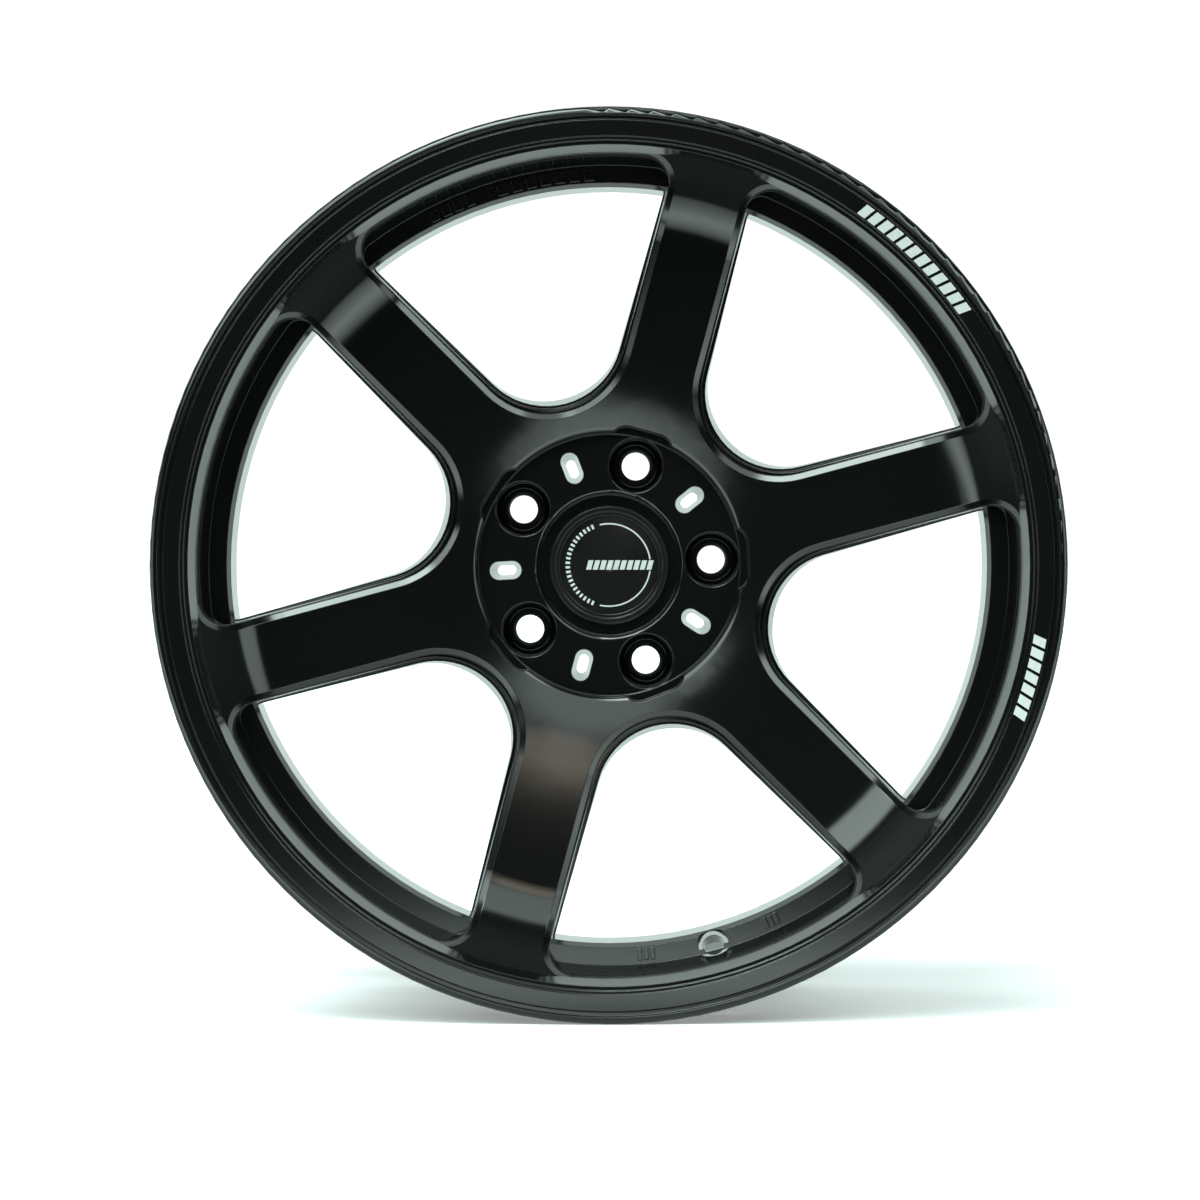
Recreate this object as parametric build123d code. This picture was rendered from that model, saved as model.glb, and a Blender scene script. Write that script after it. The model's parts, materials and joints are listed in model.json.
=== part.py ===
"""One-piece six-spoke alloy wheel rim, 18 x 9.5J, five studs on a 114.3 mm circle, with its snap-in centre cap.

The wheel is one casting with a flow-formed barrel: hub, spokes, barrel and both flanges are one piece of metal.
The snap-in cap is built from a moulded body, a steel wire ring that springs its legs outwards, an adhesive pad,
a domed disc and the metal foil marks on that disc. The foil bars on the front lip are separate stickers.

Everything is modelled with the wheel's axis along Z and the outer face towards +Z, with z = 0 on the rim's centre
plane, and is turned at the end so that the axis lies along Y and the outer face looks towards -Y.
"""

import os
from math import atan2, cos, hypot, radians, sin, sqrt, tan

from build123d import *

# ---- Rim, millimetres ------------------------------------------------------------------------------------------
BEAD_SEAT_R = 231.0  # 18 inch, 5 degree drop-centre rim
FLANGE_H = 17.5  # J flange
FLANGE_R = BEAD_SEAT_R + FLANGE_H
RIM_WIDTH = 9.5 * 25.4  # between the two flanges
FLANGE_T = 11.35
FLANGE_Z = RIM_WIDTH / 2  # tyre side of each flange
FACE_Z = FLANGE_Z + FLANGE_T  # foremost edge of the front lip
LIP_Z = FACE_Z - 0.3  # flat ring on the lip, which carries the stickers
SEAT_W = 20.0
SEAT_SLOPE = tan(radians(5))
HUMP_R = BEAD_SEAT_R + 0.3
WELL_OUT_R = 214.8
WELL_IN_R = 208.0
BARREL_OUT_R = 226.0
BARREL_IN_R = 222.0
SHELF_IN_R = 210.0  # inner edge of the forward-facing shelf behind the lip
SHELF_Z = 89.4

# ---- Hub -------------------------------------------------------------------------------------------------------
OFFSET = 22.0  # mounting face in front of the centre plane
BORE_R = 73.1 / 2
PAD_R = 74.0
HUB_DISC_Z = 62.0
HUB_DISC_R = 72.6
CAP_WELL_R = 40.3
CAP_WELL_Z = 57.0
CAP_HOLE_R = 31.2
CAP_LAND_Z = 38.0  # rear end of the land that the cap's legs grip
SCALLOP_Z = 64.0
SLOT_CIRCLE_R = 57.5

STUD_COUNT = 5
STUD_CIRCLE_R = 114.3 / 2
STUD_HOLE_R = 7.8
STUD_SEAT_R = 11.7
STUD_POCKET_R = 14.75
STUD_SEAT_Z = 37.0
STUD_BORE_Z = 30.3
FIRST_STUD = 3.0  # degrees

# ---- Spokes and windows ----------------------------------------------------------------------------------------
SPOKES = 6
FIRST_WINDOW = 45.0  # degrees, midway between two spokes
WINDOW_PITCH = 360 / SPOKES
STUD_PITCH = 360 / STUD_COUNT
HALF_GAP = radians(WINDOW_PITCH / 2)
WINDOW_RIM_R = 224.3
WINDOW_CORNER_R = 14.0
SPOKE_EDGE_W = 21.6  # half width of a spoke at its stepped edge
SPOKE_EDGE_T = 4.6  # depth of that step
HUB_END_R = 87.9  # innermost point of a window's stepped edge
LEDGE_W = 0.7
CHAMFER_W = 3.2  # along the spoke's face
CHAMFER_T = 2.0  # down its edge

VALVE_ANGLE = 285.4
VALVE_HOLE_R = 5.75
VALVE_TILT = 28.0
VALVE_FACE_R = 8.6
VALVE_R = 216.4  # centre of the spot face
VALVE_Z = 89.0
VALVE_WALL_T = 7.0

# ---- Raised marks on the shelf ---------------------------------------------------------------------------------
MARK_R0 = 211.4
MARK_R1 = 217.6
MARK_T = 0.6
MARK_RUNS = ((92.2, 7, 2.15), (110.2, 4, 1.9))  # first angle, count and pitch of each run of bars, degrees
MARK_FILL = 0.66
PAD_RUNS = ((274.2, 3, 0.95), (293.4, 3, 0.85))

# ---- Centre cap ------------------------------------------------------------------------------------------------
CAP_R = 33.1
CAP_FLANGE_T = 3.6
CAP_STEP_R = 29.4
CAP_DISH_R = 27.4
CAP_SKIRT_R = 30.6
CAP_LEG_R = 31.15  # sprung legs grip the hole
CAP_DISC_R = 27.2
CAP_DISC_T = 0.8
CAP_PAD_T = 0.6
DOME_RISE = 0.8
FOIL_T = 0.12
RING_GAP = 8.0  # degrees either side of the bars
RING_END = 103.0
TICK_START = 112.0
TICK_END = 245.0
BAR_X0 = -12.8
BAR_X1 = 24.4


def ring_profile(points, fillets):
    """A closed (r, z) outline in the XZ plane, with the named corners rounded."""
    face = make_face(Polyline(*points, close=True))
    for index, radius in fillets:
        corner = min(face.vertices(), key=lambda v: hypot(v.X - points[index][0], v.Y - points[index][1]))
        face = fillet(corner, radius)
    return face


def turned(face):
    """Revolve an (r, z) outline drawn in the XY plane about the wheel's axis."""
    return revolve(Plane.XZ * face, Axis.Z, 360)


def sector(r0, r1, low, height, start, sweep_deg):
    """Upright ring sector between two radii, standing on the height low."""
    high = low + height
    section = make_face(Polyline((r0, low), (r1, low), (r1, high), (r0, high), close=True))
    return Rot(0, 0, start) * revolve(Plane.XZ * section, Axis.Z, sweep_deg)


# ---- Barrel ----------------------------------------------------------------------------------------------------
def barrel():
    seat_low = BEAD_SEAT_R - SEAT_W * SEAT_SLOPE
    hump_z = FLANGE_Z - SEAT_W - 3.0
    points = [
        # tyre side, front to back
        (FLANGE_R, FACE_Z),
        (FLANGE_R, FLANGE_Z),
        (BEAD_SEAT_R, FLANGE_Z),
        (seat_low, FLANGE_Z - SEAT_W),
        (HUMP_R, hump_z),
        (HUMP_R - 3.0, hump_z - 5.0),
        (WELL_OUT_R, 70.0),
        (WELL_OUT_R, 44.0),
        (BARREL_OUT_R, 12.0),
        (BARREL_OUT_R + 0.4, -hump_z + 9.0),
        (HUMP_R, -hump_z),
        (seat_low, -FLANGE_Z + SEAT_W),
        (BEAD_SEAT_R, -FLANGE_Z),
        (FLANGE_R, -FLANGE_Z),
        (FLANGE_R, -FACE_Z),
        # brake side, back to front
        (229.0, -FACE_Z),
        (BARREL_IN_R + 0.4, -FACE_Z + 11.0),
        (BARREL_IN_R, 8.0),
        (WELL_IN_R, 42.0),
        (WELL_IN_R, SHELF_Z - 5.4),
        (SHELF_IN_R, SHELF_Z),
        # inside the ring that the spokes end in
        (WINDOW_RIM_R + 0.5, SHELF_Z),
        (WINDOW_RIM_R + 0.5, 116.6),
        # lip
        (227.8, 130.0),
        (229.9, 130.2),
        (230.4, 130.8),
        (232.0, 131.0),
        (232.5, LIP_Z),
        (241.1, LIP_Z),
        (241.8, FACE_Z - 1.6),
        (243.7, FACE_Z - 1.1),
        (244.4, FACE_Z),
    ]
    rounds = [
        (0, 3.6),
        (1, 5.0),
        (2, 6.5),
        (4, 2.5),
        (5, 6.0),
        (6, 10.0),
        (7, 14.0),
        (8, 14.0),
        (10, 2.5),
        (12, 6.5),
        (13, 5.0),
        (14, 5.0),
        (15, 6.0),
        (16, 5.0),
        (17, 20.0),
        (18, 20.0),
    ]
    return turned(ring_profile(points, rounds))


# ---- Disc that the spokes are cut from -------------------------------------------------------------------------
FACE_SPLINE = [(76.6, 68.2), (92.0, 72.3), (110.0, 75.6), (150.0, 80.2), (180.2, 82.6)]
FACE_START_SLOPE = 17.0
FACE_END_SLOPE = 4.0
SWEEP_END_SLOPE = 51.0
SWEEP_R = 40.0  # the spokes' upward sweep towards the lip
FLANK_L = 30.0  # straight stretch after it


def face_line(depth):
    """The spokes' front line from hub to lip, sunk into the metal by depth. It returns its edges and end points."""
    slopes = [FACE_START_SLOPE, 12.0, 8.0, 5.0, FACE_END_SLOPE]
    points = [(r + depth * sin(radians(s)), z - depth * cos(radians(s))) for (r, z), s in zip(FACE_SPLINE, slopes)]
    start_dir = (cos(radians(FACE_START_SLOPE)), sin(radians(FACE_START_SLOPE)))
    end_dir = (cos(radians(FACE_END_SLOPE)), sin(radians(FACE_END_SLOPE)))
    spline = Spline(*points, tangents=(start_dir, end_dir))
    last_r, last_z = FACE_SPLINE[-1]
    centre_r = last_r - SWEEP_R * sin(radians(FACE_END_SLOPE))
    centre_z = last_z + SWEEP_R * cos(radians(FACE_END_SLOPE))

    def on_sweep(slope):
        reach = SWEEP_R + depth
        return (centre_r + reach * sin(radians(slope)), centre_z - reach * cos(radians(slope)))

    middle = (FACE_END_SLOPE + SWEEP_END_SLOPE) / 2
    sweep_r, sweep_z = on_sweep(SWEEP_END_SLOPE)
    sweep = ThreePointArc(points[-1], on_sweep(middle), (sweep_r, sweep_z))
    rise = radians(SWEEP_END_SLOPE)
    outer = (sweep_r + FLANK_L * cos(rise), sweep_z + FLANK_L * sin(rise))
    return [spline, sweep, Line((sweep_r, sweep_z), outer)], points[0], outer


def disc():
    edges, inner, outer = face_line(0)
    rim_r = HUB_DISC_R + 0.4
    hub_rim = (rim_r, inner[1] - (inner[0] - rim_r) * tan(radians(FACE_START_SLOPE)))
    back = Polyline(
        outer,
        (228.0, outer[1]),
        (228.0, 100.0),
        (225.3, SHELF_Z - 0.4),
        (215.0, 84.0),
        (212.0, 78.0),
        (212.0, 52.0),
        (205.0, 56.0),
        (184.0, 57.0),
        (112.0, 43.0),
        (84.0, 30.0),
        (PAD_R + 1.0, 27.0),
        (PAD_R, OFFSET),
        (BORE_R, OFFSET),
        (BORE_R, CAP_LAND_Z - 4.0),
        (CAP_HOLE_R, CAP_LAND_Z),
        (CAP_HOLE_R, CAP_WELL_Z),
        (CAP_WELL_R - 1.2, CAP_WELL_Z),
        (CAP_WELL_R, HUB_DISC_Z),
        (HUB_DISC_R, HUB_DISC_Z),
        hub_rim,
        inner,
    )
    face = make_face([*edges, *back.edges()])
    rounds = [
        ((205.0, 56.0), 12.0),
        ((184.0, 57.0), 60.0),
        ((112.0, 43.0), 60.0),
        ((84.0, 30.0), 14.0),
        ((PAD_R, OFFSET), 1.0),
        ((CAP_WELL_R, HUB_DISC_Z), 1.8),
        (hub_rim, 4.4),
    ]
    for (r, z), radius in rounds:
        corner = min(face.vertices(), key=lambda v: hypot(v.X - r, v.Y - z))
        face = fillet(corner, radius)
    return turned(face)


def edge_band():
    """The outermost SPOKE_EDGE_T of the disc's front, used to step the spokes' edges."""
    low, low_in, low_out = face_line(SPOKE_EDGE_T)
    top = 135.0
    sides = Polyline(low_out, (236.0, low_out[1]), (236.0, top), (60.0, top), (60.0, low_in[1]), low_in)
    return turned(make_face([*low, *sides.edges()]))


def window_outline(rim_offset, hub_offset, hub_end, z, rim_r=WINDOW_RIM_R, corner_r=WINDOW_CORNER_R):
    """A window's outline in the plane at height z, centred on the +Y axis.

    rim_offset and hub_offset are the distances of its straight side from the neighbouring spoke's centre line,
    at 200 mm and 112 mm from the wheel's axis. hub_end is how near its round end comes to the wheel's axis, and
    rim_r how far its outer side is from it. corner_r rounds the two corners at the rim.
    """
    along = Vector(sin(HALF_GAP), cos(HALF_GAP))
    across = Vector(-cos(HALF_GAP), sin(HALF_GAP))
    low = along * 112.0 + across * hub_offset
    high = along * 200.0 + across * rim_offset
    side = (high - low).normalized()
    inward = Vector(-side.Y, side.X)
    lean = atan2(side.X, side.Y)
    crossing = low.Y - low.X / tan(lean)
    hub_centre = (hub_end - crossing * sin(lean)) / (1 - sin(lean))
    hub_r = hub_centre - hub_end
    hub_tangent = Vector(hub_r * cos(lean), hub_centre - hub_r * sin(lean))
    # corner circle: touches the side and, from inside, the rim circle
    reach = rim_r - corner_r
    base = low + inward * corner_r
    half = base.dot(side)
    travel = -half + sqrt(half**2 - base.dot(base) + reach**2)
    corner = base + side * travel
    side_tangent = corner - inward * corner_r
    rim_tangent = corner * (rim_r / reach)
    corner_mid = corner + (side_tangent - corner + rim_tangent - corner).normalized() * corner_r

    def mirrored(p):
        return Vector(-p.X, p.Y)

    edges = [
        ThreePointArc(mirrored(hub_tangent), (0, hub_end), hub_tangent),
        Line(hub_tangent, side_tangent),
        ThreePointArc(side_tangent, corner_mid, rim_tangent),
        ThreePointArc(rim_tangent, (0, rim_r), mirrored(rim_tangent)),
        ThreePointArc(mirrored(rim_tangent), mirrored(corner_mid), mirrored(side_tangent)),
        Line(mirrored(side_tangent), mirrored(hub_tangent)),
    ]
    return Pos(0, 0, z) * make_face(edges)


def around(shape, first, count):
    """Copies of shape, drawn on the +Y axis, at equal steps round the wheel's axis; angles start at +X."""
    return [Rot(0, 0, first - 90 + 360 / count * i) * shape for i in range(count)]


def on_spoke_face(edge):
    """Whether an edge lies on the spokes' front surface, clear of its inner and outer ends."""
    edges, inner, outer = face_line(0)
    for t in (0.1, 0.5, 0.9):
        p = edge @ t
        r = hypot(p.X, p.Y)
        if not inner[0] + 1 < r < WINDOW_RIM_R - 0.02:
            return False
        if min(e.distance_to(Vertex(r, p.Z, 0)) for e in edges) > 0.02:
            return False
    return True


def window():
    """Everything one window takes away: a drafted pocket down to the shelf, and the opening through the wheel."""
    edge = SPOKE_EDGE_W + LEDGE_W
    rim_high = WINDOW_RIM_R - LEDGE_W
    rim_low = 217.7
    low_z, middle_z, front_z, pocket_z = 15.0, 62.0, 78.0, 110.0
    far = [window_outline(25.6, 28.0, 99.3, low_z), window_outline(24.2, 25.4, 92.8, middle_z)]
    near = [window_outline(23.6, 23.9, 91.2, middle_z), window_outline(edge, edge, 89.4, front_z)]
    low_edge = window_outline(edge, edge, 89.4, front_z, rim_low, 5.0)
    high_edge = window_outline(edge, edge, 89.4, pocket_z, rim_high, WINDOW_CORNER_R - LEDGE_W)
    shape = extrude(high_edge, 60, dir=(0, 0, 1))
    for pair in (far, near, [low_edge, high_edge]):
        shape += loft(pair, ruled=True)
    return shape


def spider():
    """Hub and spokes: the disc with its six windows, whose front edges are stepped and chamfered."""
    body = disc()
    body -= around(window(), FIRST_WINDOW, SPOKES)
    outline = window_outline(SPOKE_EDGE_W, SPOKE_EDGE_W, HUB_END_R, 40.0)
    step = extrude(outline, 100, dir=(0, 0, 1))
    band = edge_band()
    body -= [band & tool for tool in around(step, FIRST_WINDOW, SPOKES)]
    front = max(body.faces(), key=lambda face: len([e for e in face.edges() if on_spoke_face(e)]))
    rims = [e for e in front.edges() if on_spoke_face(e)]
    return Part() + body.chamfer(CHAMFER_W, CHAMFER_T, rims, front)


def scallop():
    """Clearance for the wheel-nut socket, cut into the wall round the hub's face beside each stud hole."""
    low = Pos(0, 57.7, SCALLOP_Z) * RectangleRounded(35.4, 38.2, 9.4)
    high = Pos(0, 57.7, SCALLOP_Z + 12.0) * RectangleRounded(39.0, 41.8, 11.2)
    return loft([low, high])


def stud_hole():
    """Nut pocket, conical seat and bore of one stud hole, on the +Y axis."""
    top, low = 110.0, 10.0
    points = [
        (0, low),
        (STUD_HOLE_R, low),
        (STUD_HOLE_R, STUD_BORE_Z),
        (STUD_SEAT_R, STUD_SEAT_Z),
        (STUD_POCKET_R, STUD_SEAT_Z),
        (STUD_POCKET_R, HUB_DISC_Z - 0.7),
        (STUD_POCKET_R + 0.7, HUB_DISC_Z),
        (STUD_POCKET_R + 0.7, HUB_DISC_Z + 1.0),
        (STUD_POCKET_R, HUB_DISC_Z + 1.0),
        (STUD_POCKET_R, top),
        (0, top),
    ]
    return Pos(0, STUD_CIRCLE_R, 0) * turned(make_face(Polyline(*points, close=True)))


def slot():
    """Weight-saving slot between two stud holes: long along the radius, tapering towards the pad."""
    front = Rot(0, 0, 90) * SlotOverall(17.6, 10.0)
    back = Rot(0, 0, 90) * SlotOverall(10.5, 5.5)
    shape = loft([Pos(0, 0, OFFSET + 6.0) * back, Pos(0, 0, HUB_DISC_Z) * front])
    shape += extrude(Pos(0, 0, HUB_DISC_Z) * front, 10, dir=(0, 0, 1))
    shape += extrude(Pos(0, 0, OFFSET - 4.0) * back, 11, dir=(0, 0, 1))
    return Pos(0, SLOT_CIRCLE_R, 0) * shape


def pad_relief():
    """Shallow pocket in the mounting face between two stud holes."""
    outline = Pos(0, 57, 0) * RectangleRounded(24.0, 20.0, 5.0)
    return extrude(Pos(0, 0, OFFSET - 5.0) * outline, 11.0, dir=(0, 0, 1))


def spoke_pocket():
    """Tapered hollow in the back of one spoke."""
    deep = Pos(0, 147, 63.0) * Rot(0, 0, 90) * SlotOverall(84.0, 17.0)
    open_end = Pos(0, 147, 36.0) * Rot(0, 0, 90) * SlotOverall(92.0, 27.0)
    return loft([open_end, deep])


def valve_hole():
    """Drilled hole with a spot-faced ring in front and a flat seat behind, leaning outwards."""
    drill = Cylinder(VALVE_HOLE_R, 60.0)
    spot = Pos(0, 0, 20.0) * Cylinder(VALVE_FACE_R, 40.0)
    seat = Pos(0, 0, -VALVE_WALL_T - 20.0) * Cylinder(VALVE_FACE_R - 1.0, 40.0)
    tool = Pos(0, VALVE_R, VALVE_Z) * Rot(VALVE_TILT, 0, 0) * (drill + spot + seat)
    return Rot(0, 0, VALVE_ANGLE - 90) * tool


def shelf_marks():
    """Raised plain bars on the shelf behind the lip, where the casting is marked."""
    marks = []
    for first, count, pitch in MARK_RUNS + PAD_RUNS:
        for i in range(count):
            marks.append(sector(MARK_R0, MARK_R1, SHELF_Z - 1.0, MARK_T + 1.0, first + pitch * i, pitch * MARK_FILL))
    return marks


def wheel():
    body = spider()
    cuts = around(scallop(), FIRST_STUD, STUD_COUNT)
    cuts += around(stud_hole(), FIRST_STUD, STUD_COUNT)
    cuts += around(slot(), FIRST_STUD + STUD_PITCH / 2, STUD_COUNT)
    cuts += around(pad_relief(), FIRST_STUD + STUD_PITCH / 2, STUD_COUNT)
    cuts += around(spoke_pocket(), FIRST_WINDOW + WINDOW_PITCH / 2, SPOKES)
    body -= cuts
    body += barrel()
    body += shelf_marks()
    body -= valve_hole()
    return body


# ---- Centre cap ------------------------------------------------------------------------------------------------
def cap_body():
    """Moulded cap: flanged dish with six sprung legs, gripped outwards by a wire ring in their groove."""
    z = CAP_WELL_Z
    inner_r = CAP_SKIRT_R - 2.2
    section = [
        (0, z - 2.0),
        (inner_r, z - 2.0),
        (inner_r, z - 13.4),
        (inner_r + 1.0, z - 13.4),
        (inner_r + 1.0, z - 15.2),
        (inner_r, z - 15.2),
        (inner_r, z - 17.6),
        (inner_r + 1.2, z - 18.6),
        (CAP_LEG_R, z - 16.6),
        (CAP_LEG_R, z - 11.0),
        (CAP_SKIRT_R, z - 9.6),
        (CAP_SKIRT_R, z),
        (CAP_R, z),
        (CAP_R, z + 2.6),
        (CAP_R - 0.9, z + CAP_FLANGE_T),
        (CAP_STEP_R + 0.5, z + CAP_FLANGE_T),
        (CAP_STEP_R, z + CAP_FLANGE_T - 0.6),
        (CAP_DISH_R + 0.3, z + CAP_FLANGE_T - 0.6),
        (CAP_DISH_R, z + CAP_FLANGE_T - 1.0),
        (CAP_DISH_R, z + 0.6),
        (0, z + 0.6),
    ]
    body = turned(make_face(Polyline(*section, close=True)))
    slot_top = z - 5.0
    gap = Pos(CAP_SKIRT_R, 0, slot_top - 10.0) * Box(12.0, 13.0, 20.0)
    body -= [Rot(0, 0, 30 + 60 * i) * gap for i in range(6)]
    gusset = Pos(inner_r - 2.0, 0, z - 4.5) * Box(5.0, 1.6, 6.0)
    body += [Rot(0, 0, 60 * i) * gusset for i in range(6)]
    return body


def cap_spring_ring():
    """Open ring of spring wire in the legs' groove."""
    path_r = CAP_SKIRT_R - 2.2
    z = CAP_WELL_Z - 14.3
    gap = radians(7)
    start = (path_r * cos(gap), path_r * sin(gap), z)
    end = (path_r * cos(gap), -path_r * sin(gap), z)
    path = ThreePointArc(start, (-path_r, 0, z), end)
    return sweep(Plane(start, z_dir=path % 0) * Circle(0.8), path)


def dome_slice(low, high, radius):
    """Solid between two heights above the disc's seat, following its domed front."""
    seat = CAP_WELL_Z + 0.6 + CAP_PAD_T
    sphere_r = (CAP_DISC_R**2 + DOME_RISE**2) / (2 * DOME_RISE)
    centre = seat + CAP_DISC_T + DOME_RISE - sphere_r
    upper = Pos(0, 0, centre) * Sphere(sphere_r + high)
    column = Pos(0, 0, seat) * Cylinder(radius, 10, align=(Align.CENTER, Align.CENTER, Align.MIN))
    shape = upper & column
    if low is not None:
        shape -= Pos(0, 0, centre) * Sphere(sphere_r + low)
    return shape


def emblem_disc():
    return dome_slice(None, 0.0, CAP_DISC_R)


def adhesive_pad():
    seat = Pos(0, 0, CAP_WELL_Z + 0.6)
    return seat * Cylinder(CAP_DISC_R - 0.6, CAP_PAD_T, align=(Align.CENTER, Align.CENTER, Align.MIN))


def foil(columns):
    """Thin foil pieces on the domed disc, cut out by upright columns."""
    sheet = dome_slice(0.0, FOIL_T, CAP_DISC_R - 0.6)
    return Compound([s for column in columns for s in (sheet & column).solids()])


def ring_columns():
    """Half ring on the right, short ticks round the left."""
    sweep_deg = RING_END - RING_GAP
    parts = [sector(22.5, 23.3, CAP_WELL_Z, 10.0, start, sweep_deg) for start in (RING_GAP, -RING_END)]
    count = 22
    pitch = (TICK_END - TICK_START) / (count - 1)
    for i in range(count):
        parts.append(sector(21.7, 24.2, CAP_WELL_Z, 10.0, TICK_START + pitch * i, 3.2))
    return parts


def bar_columns():
    """Row of plain slanted bars across the middle of the disc."""
    count = 10
    pitch = (BAR_X1 - BAR_X0) / count
    width = pitch * 0.74
    slant = 1.4
    parts = []
    for i in range(count):
        x = BAR_X0 + pitch * i
        corners = [(x, -2.6), (x + width, -2.6), (x + width + slant, 2.6), (x + slant, 2.6)]
        outline = make_face(Polyline(*corners, close=True))
        parts.append(extrude(Pos(0, 0, CAP_WELL_Z) * outline, 10, dir=(0, 0, 1)))
    return parts


# ---- Stickers on the lip ---------------------------------------------------------------------------------------
def lip_bars(first, last, count, r0, r1, fill):
    """Row of slanted bars cut from foil on the flat ring of the lip."""
    pitch = (last - first) / count
    lean = 0.45
    solids = []
    for i in range(count):
        a = first + pitch * i
        b = a + pitch * fill
        corners = [(r0, a + lean), (r0, b + lean), (r1, b), (r1, a)]
        points = [(r * cos(radians(t)), r * sin(radians(t))) for r, t in corners]
        outline = Pos(0, 0, LIP_Z) * make_face(Polyline(*points, close=True))
        solids += extrude(outline, FOIL_T, dir=(0, 0, 1)).solids()
    return Compound(solids)


def main():
    os.makedirs("parts", exist_ok=True)
    parts = {
        "wheel": wheel(),
        "cap_body": cap_body(),
        "cap_spring_ring": cap_spring_ring(),
        "cap_adhesive_pad": adhesive_pad(),
        "cap_emblem_disc": emblem_disc(),
        "cap_foil_ring": foil(ring_columns()),
        "cap_foil_bars": foil(bar_columns()),
        "lip_sticker_upper": lip_bars(35.2, 54.8, 12, 232.9, 239.9, 0.74),
        "lip_sticker_lower": lip_bars(339.4, 350.8, 7, 232.9, 239.9, 0.74),
    }
    for node, shape in parts.items():
        export_step(Rot(90, 0, 0) * shape, f"parts/{node}.step")


if __name__ == "__main__":
    main()
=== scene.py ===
import json
import math

import bpy
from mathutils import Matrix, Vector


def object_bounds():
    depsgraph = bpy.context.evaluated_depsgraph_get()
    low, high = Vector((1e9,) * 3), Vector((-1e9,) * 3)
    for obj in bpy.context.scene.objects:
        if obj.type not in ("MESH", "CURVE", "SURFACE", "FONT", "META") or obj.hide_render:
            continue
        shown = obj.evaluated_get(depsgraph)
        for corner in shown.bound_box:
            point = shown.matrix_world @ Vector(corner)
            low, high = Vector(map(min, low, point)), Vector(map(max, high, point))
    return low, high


SATIN = (0.0022, 0.0023, 0.0024)
PLASTIC = (0.004, 0.004, 0.0042)
DISC = (0.0035, 0.0035, 0.0036)
SILVER = (0.43, 0.45, 0.445)
SOFT_WHITE = (0.84, 1.0, 0.96)
WARM = (1.0, 0.9, 0.74)

LENS_MM = 143.8
SENSOR_MM = 36.0
CAMERA_AT = (0.0081, -2.722, 0.0092)
CAMERA_SHIFT = (-0.01975, -0.043)

# Surroundings: dark in front of the wheel and white behind it, in degrees away from the view axis
FRONT_DARK = 0.004
BACK_WHITE = 1.15
DARK_WITHIN = 104
WHITE_BEYOND = 130
SEEN_WHITE = 1.2  # what the camera itself sees there

# Patches of light in front of the wheel: degrees round from +X, degrees away from the view axis,
# half width and soft edge in degrees, radiance, colour
PATCHES = (
    (128, 56, 20, 10, 5.5, SOFT_WHITE),
    (103, 66, 11, 7, 12.0, SOFT_WHITE),
    (48, 66, 11, 7, 6.0, SOFT_WHITE),
    (80, 44, 18, 10, 2.6, SOFT_WHITE),
    (255, 58, 16, 10, 3.0, SOFT_WHITE),
    (5, 74, 13, 9, 2.6, SOFT_WHITE),
    (188, 74, 13, 9, 2.6, SOFT_WHITE),
    (76, 12, 1, 3, 1.0, WARM),
    (76, 16, 2, 4, 3.0, WARM),
)

# Floor: the glow that the wheel reflects rises over one stretch of Y, and falls to a share over another
FLOOR_GLOW = 3.6
GLOW_RISES = (-0.95, -0.5)
GLOW_FALLS = (-0.4, -0.15)
GLOW_SHARE = 0.3
FLOOR_LIFT = 0.22  # added to what the camera sees of it
FLOOR_HALF = 30.0
FLOOR_FRONT = -1.05


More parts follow.
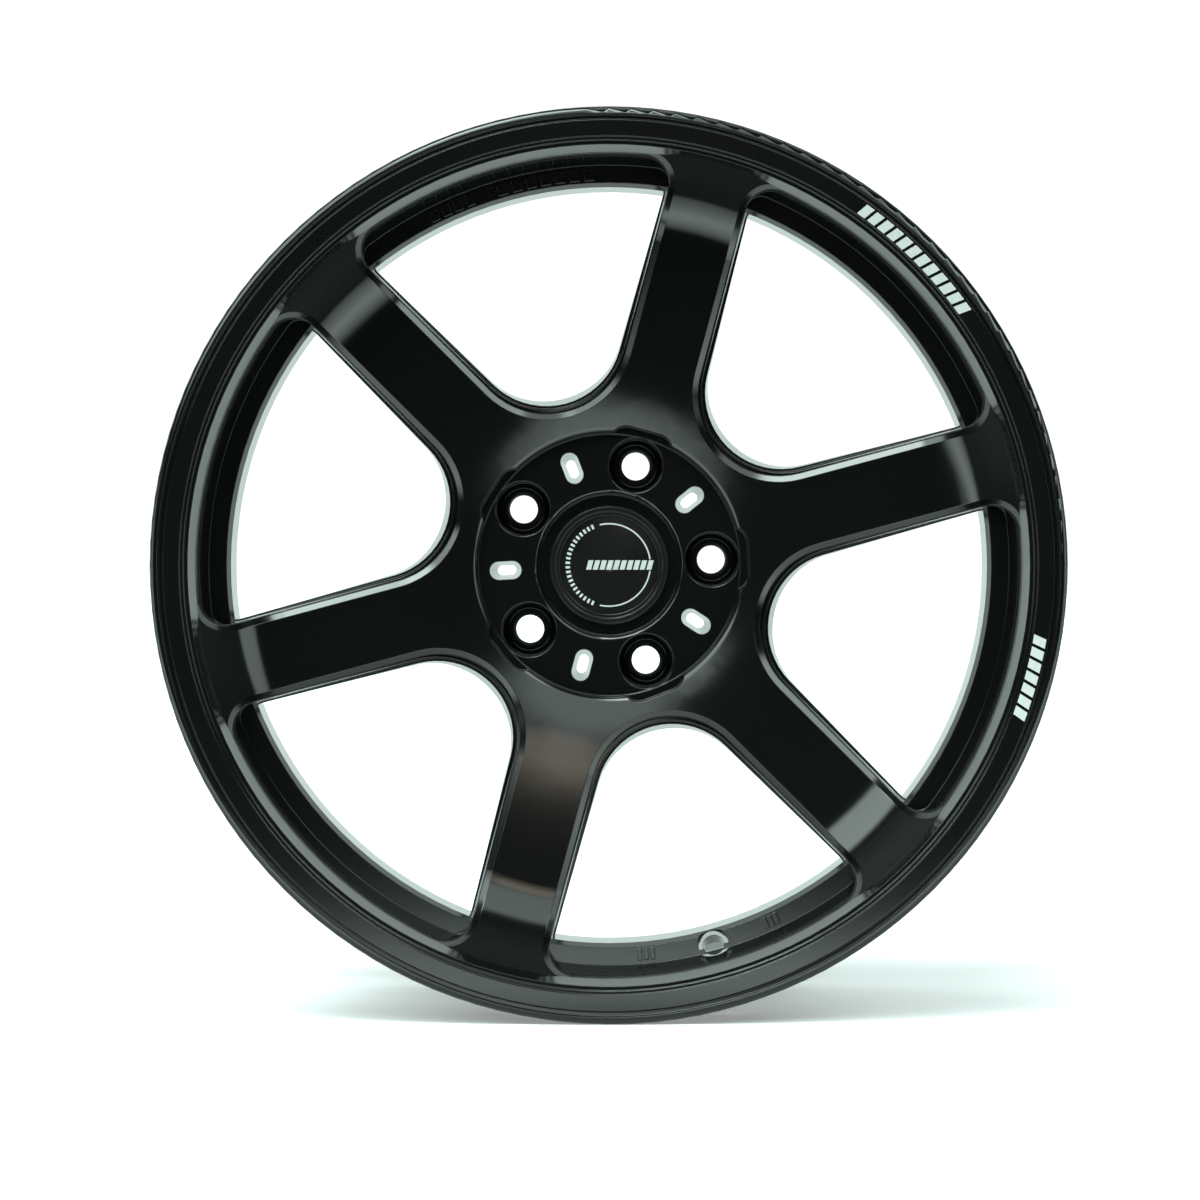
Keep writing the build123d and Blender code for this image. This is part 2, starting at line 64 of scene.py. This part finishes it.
class Nodes:
    """Short hand for building a shader's node tree."""

    def __init__(self, name):
        self.material = bpy.data.materials.new(name)
        self.material.use_nodes = True
        self.tree = self.material.node_tree
        self.tree.nodes.clear()
        self.out = self.add("ShaderNodeOutputMaterial")
        self.bsdf = self.add("ShaderNodeBsdfPrincipled")
        self.link(self.bsdf, "BSDF", self.out, "Surface")
        self.coords = self.add("ShaderNodeTexCoord")

    def add(self, kind, **values):
        node = self.tree.nodes.new(kind)
        for key, value in values.items():
            if hasattr(node, key):
                setattr(node, key, value)
            else:
                node.inputs[key.replace("_", " ").title()].default_value = value
        return node

    def link(self, a, out, b, into):
        self.tree.links.new(a.outputs[out], b.inputs[into])

    def set(self, **values):
        for key, value in values.items():
            name = key.replace("_", " ").title()
            name = name.replace("Ior", "IOR")
            self.bsdf.inputs[name].default_value = value

    def noise(self, scale, detail, stretch=None):
        node = self.add("ShaderNodeTexNoise", scale=scale, detail=detail)
        if stretch is None:
            self.link(self.coords, "Object", node, "Vector")
            return node
        mapping = self.add("ShaderNodeMapping")
        mapping.inputs["Scale"].default_value = stretch
        self.link(self.coords, "Object", mapping, "Vector")
        self.link(mapping, "Vector", node, "Vector")
        return node

    def ranged(self, source, out, low, high, from_low=0.3, from_high=0.7):
        node = self.add("ShaderNodeMapRange")
        node.inputs["From Min"].default_value = from_low
        node.inputs["From Max"].default_value = from_high
        node.inputs["To Min"].default_value = low
        node.inputs["To Max"].default_value = high
        self.link(source, out, node, "Value")
        return node

    def tinted(self, source, out, dark, light):
        node = self.add("ShaderNodeMix", data_type="RGBA")
        node.inputs["A"].default_value = (*dark, 1)
        node.inputs["B"].default_value = (*light, 1)
        self.tree.links.new(source.outputs[out], node.inputs["Factor"])
        return node

    def colour_from(self, mix):
        self.tree.links.new(mix.outputs["Result"], self.bsdf.inputs["Base Color"])

    def bumps(self, layers, edge=0.0):
        """layers: (node, output, distance in metres); edge: radius of the softened edges in metres."""
        normal = None
        if edge:
            normal = self.add("ShaderNodeBevel", samples=6)
            normal.inputs["Radius"].default_value = edge
        for node, out, distance in layers:
            bump = self.add("ShaderNodeBump")
            bump.inputs["Strength"].default_value = 1.0
            bump.inputs["Distance"].default_value = distance
            self.link(node, out, bump, "Height")
            if normal:
                self.link(normal, "Normal", bump, "Normal")
            normal = bump
        if normal:
            self.link(normal, "Normal", self.bsdf, "Normal")


def satin_black():
    """Satin black powder coat: slight orange peel and small changes of sheen."""
    n = Nodes("satin_black_paint")
    sheen = n.noise(9.0, 4.0)
    grain = n.noise(1400.0, 2.0)
    peel = n.noise(260.0, 2.0)
    n.colour_from(n.tinted(sheen, "Fac", SATIN, tuple(c * 1.35 for c in SATIN)))
    rough = n.ranged(sheen, "Fac", 0.125, 0.15)
    n.link(rough, "Result", n.bsdf, "Roughness")
    n.set(specular_ior_level=0.5)
    n.bumps([(peel, "Fac", 0.000008), (grain, "Fac", 0.000002)], edge=0.0006)
    return n.material


def black_plastic():
    n = Nodes("black_plastic")
    grain = n.noise(2200.0, 3.0)
    cloud = n.noise(30.0, 2.0)
    n.colour_from(n.tinted(cloud, "Fac", PLASTIC, tuple(c * 1.4 for c in PLASTIC)))
    n.link(n.ranged(cloud, "Fac", 0.18, 0.24), "Result", n.bsdf, "Roughness")
    n.bumps([(grain, "Fac", 0.000004)], edge=0.0003)
    return n.material


def black_disc():
    """Black lacquer over fine turning marks."""
    n = Nodes("black_disc")
    cloud = n.noise(60.0, 3.0)
    n.colour_from(n.tinted(cloud, "Fac", DISC, tuple(c * 1.5 for c in DISC)))
    n.link(n.ranged(cloud, "Fac", 0.16, 0.22), "Result", n.bsdf, "Roughness")
    n.set(coat_weight=0.35, coat_roughness=0.1)
    n.bumps([(n.noise(1500.0, 2.0), "Fac", 0.000002)], edge=0.0002)
    return n.material


def silver_foil():
    """Pale silver foil with fine streaks and small worn specks."""
    n = Nodes("silver_foil")
    streaks = n.noise(900.0, 3.0, stretch=(1.0, 1.0, 0.06))
    specks = n.noise(2600.0, 2.0)
    n.colour_from(n.tinted(streaks, "Fac", tuple(c * 0.8 for c in SILVER), SILVER))
    n.link(n.ranged(specks, "Fac", 0.34, 0.55), "Result", n.bsdf, "Roughness")
    n.set(metallic=0.25)
    n.bumps([(streaks, "Fac", 0.000008)])
    return n.material


def spring_wire():
    n = Nodes("spring_wire")
    drawn = n.noise(1800.0, 3.0)
    n.colour_from(n.tinted(drawn, "Fac", (0.35, 0.35, 0.34), (0.55, 0.55, 0.54)))
    n.link(n.ranged(drawn, "Fac", 0.22, 0.38), "Result", n.bsdf, "Roughness")
    n.set(metallic=1.0)
    n.bumps([(drawn, "Fac", 0.000005)])
    return n.material


def adhesive_foam():
    n = Nodes("adhesive_foam")
    cells = n.add("ShaderNodeTexVoronoi", scale=2400.0)
    n.link(n.coords, "Object", cells, "Vector")
    n.colour_from(n.tinted(cells, "Distance", (0.02, 0.02, 0.02), (0.06, 0.06, 0.06)))
    n.set(roughness=0.85)
    n.bumps([(cells, "Distance", 0.00005)])
    return n.material


MATERIALS = {
    "satin_black_paint": satin_black,
    "black_plastic": black_plastic,
    "black_disc": black_disc,
    "silver_foil": silver_foil,
    "spring_wire": spring_wire,
    "adhesive_foam": adhesive_foam,
}


def dress(frame):
    """Give every CAD node its material."""
    made = {slot: build() for slot, build in MATERIALS.items()}
    slots = {part["node"]: part["material_slot"] for part in frame["record"]["subparts"]}
    for name, obj in frame["nodes"].items():
        obj.data.materials.clear()
        obj.data.materials.append(made[slots[name]])


def floor_white():
    """White floor: it glows where the wheel reflects it, and the camera sees it plain with a soft shadow."""
    n = Nodes("floor_white")
    cloud = n.noise(2.0, 2.0)
    n.colour_from(n.tinted(cloud, "Fac", (0.84, 0.87, 0.865), (0.86, 0.89, 0.885)))
    n.set(roughness=0.6, specular_ior_level=0.2)
    n.set(emission_color=(1, 1, 1, 1), emission_strength=FLOOR_LIFT)
    split = n.add("ShaderNodeSeparateXYZ")
    n.link(n.coords, "Object", split, "Vector")
    ahead = n.ranged(split, "Y", 0.0, FLOOR_GLOW, *GLOW_RISES)
    near = n.ranged(split, "Y", 1.0, GLOW_SHARE, *GLOW_FALLS)
    both = n.add("ShaderNodeMath", operation="MULTIPLY")
    n.tree.links.new(ahead.outputs["Result"], both.inputs[0])
    n.tree.links.new(near.outputs["Result"], both.inputs[1])
    glow = n.add("ShaderNodeEmission")
    glow.inputs["Color"].default_value = (*SOFT_WHITE, 1)
    n.tree.links.new(both.outputs["Value"], glow.inputs["Strength"])
    path = n.add("ShaderNodeLightPath")
    mix = n.add("ShaderNodeMixShader")
    n.tree.links.new(path.outputs["Is Camera Ray"], mix.inputs[0])
    n.tree.links.new(glow.outputs[0], mix.inputs[1])
    n.tree.links.new(n.bsdf.outputs[0], mix.inputs[2])
    n.tree.links.new(mix.outputs[0], n.out.inputs["Surface"])
    return n.material


def stage(box):
    """White floor under the object."""
    left, right, front, back = -FLOOR_HALF, FLOOR_HALF, FLOOR_FRONT, FLOOR_HALF
    ground = [(left, front), (right, front), (right, back), (left, back)]
    corners = [(x, y, box[0].z) for x, y in ground]
    mesh = bpy.data.meshes.new("floor")
    mesh.from_pydata(corners, [], [(0, 1, 2, 3)])
    floor = bpy.data.objects.new("floor", mesh)
    bpy.context.scene.collection.objects.link(floor)
    mesh.materials.append(floor_white())


def cosine(degrees):
    return math.cos(math.radians(degrees))


class Studio:
    """White surroundings behind the wheel, darkness round the camera and soft patches of light in front."""

    def __init__(self):
        world = bpy.data.worlds.new("studio")
        bpy.context.scene.world = world
        world.use_nodes = True
        self.tree = world.node_tree
        self.tree.nodes.clear()
        self.coords = self.tree.nodes.new("ShaderNodeTexCoord")
        surround = self.cone((0, -1, 0), DARK_WITHIN, WHITE_BEYOND, FRONT_DARK, BACK_WHITE)
        total = self.tinted(surround, SOFT_WHITE)
        for around, away, half, soft, radiance, colour in PATCHES:
            turn, tilt = math.radians(around), math.radians(away)
            toward = (math.sin(tilt) * math.cos(turn), -math.cos(tilt), math.sin(tilt) * math.sin(turn))
            patch = self.tinted(self.cone(toward, half, half + soft, radiance, 0.0), colour)
            total = self.summed(total, patch)
        self.finish(total)

    def cone(self, toward, inner, outer, inside, outside):
        """The value inside up to inner degrees from a direction, and outside beyond outer degrees."""
        dot = self.tree.nodes.new("ShaderNodeVectorMath")
        dot.operation = "DOT_PRODUCT"
        dot.inputs[1].default_value = toward
        self.tree.links.new(self.coords.outputs["Generated"], dot.inputs[0])
        ramp = self.tree.nodes.new("ShaderNodeMapRange")
        ramp.interpolation_type = "SMOOTHSTEP"
        ramp.inputs["From Min"].default_value = cosine(outer)
        ramp.inputs["From Max"].default_value = cosine(inner)
        ramp.inputs["To Min"].default_value = outside
        ramp.inputs["To Max"].default_value = inside
        self.tree.links.new(dot.outputs["Value"], ramp.inputs["Value"])
        return ramp.outputs["Result"]

    def tinted(self, strength, colour):
        scale = self.tree.nodes.new("ShaderNodeVectorMath")
        scale.operation = "SCALE"
        scale.inputs[0].default_value = colour
        self.tree.links.new(strength, scale.inputs["Scale"])
        return scale.outputs["Vector"]

    def summed(self, a, b):
        node = self.tree.nodes.new("ShaderNodeVectorMath")
        node.operation = "ADD"
        self.tree.links.new(a, node.inputs[0])
        self.tree.links.new(b, node.inputs[1])
        return node.outputs["Vector"]

    def finish(self, colour):
        surround = self.tree.nodes.new("ShaderNodeBackground")
        self.tree.links.new(colour, surround.inputs["Color"])
        seen = self.tree.nodes.new("ShaderNodeBackground")
        seen.inputs["Color"].default_value = (1, 1, 1, 1)
        seen.inputs["Strength"].default_value = SEEN_WHITE
        path = self.tree.nodes.new("ShaderNodeLightPath")
        mix = self.tree.nodes.new("ShaderNodeMixShader")
        out = self.tree.nodes.new("ShaderNodeOutputWorld")
        self.tree.links.new(path.outputs["Is Camera Ray"], mix.inputs[0])
        self.tree.links.new(surround.outputs[0], mix.inputs[1])
        self.tree.links.new(seen.outputs[0], mix.inputs[2])
        self.tree.links.new(mix.outputs[0], out.inputs["Surface"])


def camera():
    data = bpy.data.cameras.new("camera")
    data.lens = LENS_MM
    data.sensor_width = SENSOR_MM
    data.shift_x, data.shift_y = CAMERA_SHIFT
    obj = bpy.data.objects.new("camera", data)
    obj.location = CAMERA_AT
    obj.rotation_euler = (math.pi / 2, 0, 0)
    bpy.context.scene.collection.objects.link(obj)
    bpy.context.scene.camera = obj


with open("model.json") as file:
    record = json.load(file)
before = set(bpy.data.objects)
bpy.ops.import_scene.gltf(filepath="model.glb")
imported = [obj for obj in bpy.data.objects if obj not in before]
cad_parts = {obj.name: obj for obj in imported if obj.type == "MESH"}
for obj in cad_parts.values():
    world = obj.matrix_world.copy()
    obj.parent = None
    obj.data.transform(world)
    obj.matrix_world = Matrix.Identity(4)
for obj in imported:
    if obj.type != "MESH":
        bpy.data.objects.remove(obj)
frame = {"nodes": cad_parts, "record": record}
cad_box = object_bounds()
bpy.context.scene.view_settings.view_transform = "Standard"
dress(frame)
stage(cad_box)
Studio()
camera()
